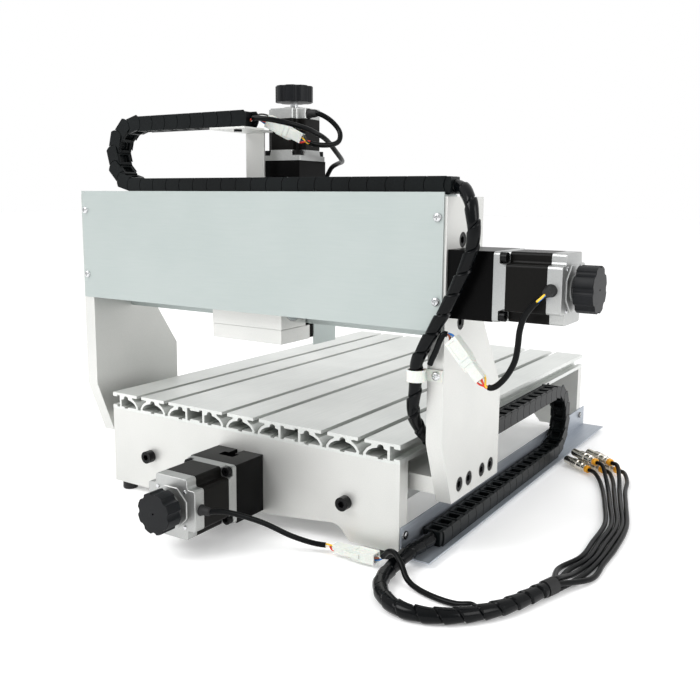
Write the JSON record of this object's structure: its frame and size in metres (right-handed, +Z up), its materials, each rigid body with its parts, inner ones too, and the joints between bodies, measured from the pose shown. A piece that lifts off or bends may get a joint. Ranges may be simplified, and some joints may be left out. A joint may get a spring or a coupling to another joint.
{
  "type": "cnc router",
  "caption": "Desktop router with a slotted work table, a gantry sliding over it, a cross carriage with a lifting spindle, motors with hand knobs, cable chains and a plugged cable tail.",
  "frame": {"origin": "on the bench under the middle of the machine's outer box, loose cords left out", "axes": "+X along the gantry towards its motor, +Y along the table's slots away from the table's motor, +Z up"},
  "size_m": [0.558, 0.654, 0.4315],
  "materials": {
    "plate": "satin",
    "sheet": "satin",
    "shaft_steel": "satin",
    "spindle_steel": "satin",
    "black_screw": "satin",
    "black_casting": "matte",
    "motor_black": "satin",
    "knob_plastic": "matte",
    "chain_plastic": "matte",
    "cable_black": "matte",
    "connector_white": "gloss",
    "nickel": "polished",
    "rubber": "matte"
  },
  "bodies": {
    "base": {"table_profiles": "plate", "end_plates": "plate", "y_shafts": "shaft_steel", "base_screws": "black_screw", "feet": "rubber", "cable_tray": "sheet", "y_housing": "black_casting", "y_motor": "motor_black", "y_screw_bearings": "shaft_steel", "y_chain_lower": "chain_plastic", "tail_sleeve": "chain_plastic", "tail_cables": "cable_black", "tail_plugs": "nickel", "y_lead": "cable_black", "y_connector": "connector_white"},
    "y_screw_line": {"y_screw": "shaft_steel", "y_motor_shaft": "shaft_steel", "y_knob": "knob_plastic"},
    "y_chain_turn": {"y_chain_loop": "chain_plastic"},
    "gantry": {"side_plates": "plate", "cross_plate": "plate", "y_bearing_blocks": "plate", "y_nut": "plate", "gantry_screws": "black_screw", "x_shafts": "shaft_steel", "rear_cover": "sheet", "front_cover": "sheet", "cable_clip": "connector_white", "x_housing": "black_casting", "x_motor": "motor_black", "x_screw_bearings": "shaft_steel", "x_chain_lower": "chain_plastic", "y_chain_upper": "chain_plastic", "x_lead": "cable_black", "x_connector": "connector_white", "harness": "cable_black"},
    "x_screw_line": {"x_screw": "shaft_steel", "x_motor_shaft": "shaft_steel", "x_knob": "knob_plastic"},
    "x_chain_turn": {"x_chain_loop": "chain_plastic"},
    "x_carriage": {"x_nut": "shaft_steel", "carriage_block": "plate", "carriage_plates": "plate", "z_back_plate": "black_casting", "z_shafts": "shaft_steel", "z_side_covers": "sheet", "chain_bracket": "sheet", "carriage_screws": "black_screw", "z_housing": "black_casting", "z_motor": "motor_black", "z_screw_bearings": "shaft_steel", "x_chain_upper": "chain_plastic", "z_lead": "cable_black", "z_connector": "connector_white"},
    "z_screw_line": {"z_screw": "shaft_steel", "z_motor_shaft": "shaft_steel", "z_knob": "knob_plastic"},
    "z_slide": {"z_slide_block": "plate", "spindle_body": "spindle_steel"},
    "spindle_line": {"spindle_rotor": "spindle_steel"}
  },
  "joints": [
    {"name": "gantry_slide", "type": "slide", "parent": "base", "child": "gantry", "axis": [0, 1, 0], "range_m": [0, 0.38], "deforming": ["y_chain_upper", "y_chain_lower"]},
    {"name": "y_screw_spin", "type": "hinge", "parent": "base", "child": "y_screw_line", "pos_m": [-0.0595, -0.208, 0.045], "axis": [0, 1, 0], "range_deg": [-27361, 1]},
    {"name": "y_chain_roll", "type": "slide", "parent": "base", "child": "y_chain_turn", "axis": [0, 1, 0], "range_m": [0, 0.19]},
    {"name": "x_slide", "type": "slide", "parent": "gantry", "child": "x_carriage", "axis": [1, 0, 0], "range_m": [-0.15, 0.15], "deforming": ["x_chain_upper", "x_chain_lower"]},
    {"name": "x_screw_spin", "type": "hinge", "parent": "gantry", "child": "x_screw_line", "pos_m": [-0.0595, -0.177, 0.251], "axis": [1, 0, 0], "range_deg": [-10801, 10801]},
    {"name": "x_chain_roll", "type": "slide", "parent": "gantry", "child": "x_chain_turn", "axis": [1, 0, 0], "range_m": [-0.075, 0.075]},
    {"name": "z_slide_move", "type": "slide", "parent": "x_carriage", "child": "z_slide", "axis": [0, 0, 1], "range_m": [-0.055, 0]},
    {"name": "z_screw_spin", "type": "hinge", "parent": "x_carriage", "child": "z_screw_line", "pos_m": [-0.0595, -0.117, 0.321], "axis": [0, 0, 1], "range_deg": [-1, 4951]},
    {"name": "spindle_spin", "type": "hinge", "parent": "z_slide", "child": "spindle_line", "pos_m": [-0.0595, -0.058, 0.184], "axis": [0, 0, 1], "continuous": true}
  ],
  "couplings": [
    {"joint": "y_screw_spin", "follows": "gantry_slide", "rad_per_m": -1256.6},
    {"joint": "y_chain_roll", "follows": "gantry_slide", "ratio": 0.5},
    {"joint": "x_screw_spin", "follows": "x_slide", "rad_per_m": -1256.6},
    {"joint": "x_chain_roll", "follows": "x_slide", "ratio": 0.5},
    {"joint": "z_screw_spin", "follows": "z_slide_move", "rad_per_m": -1570.8}
  ]
}
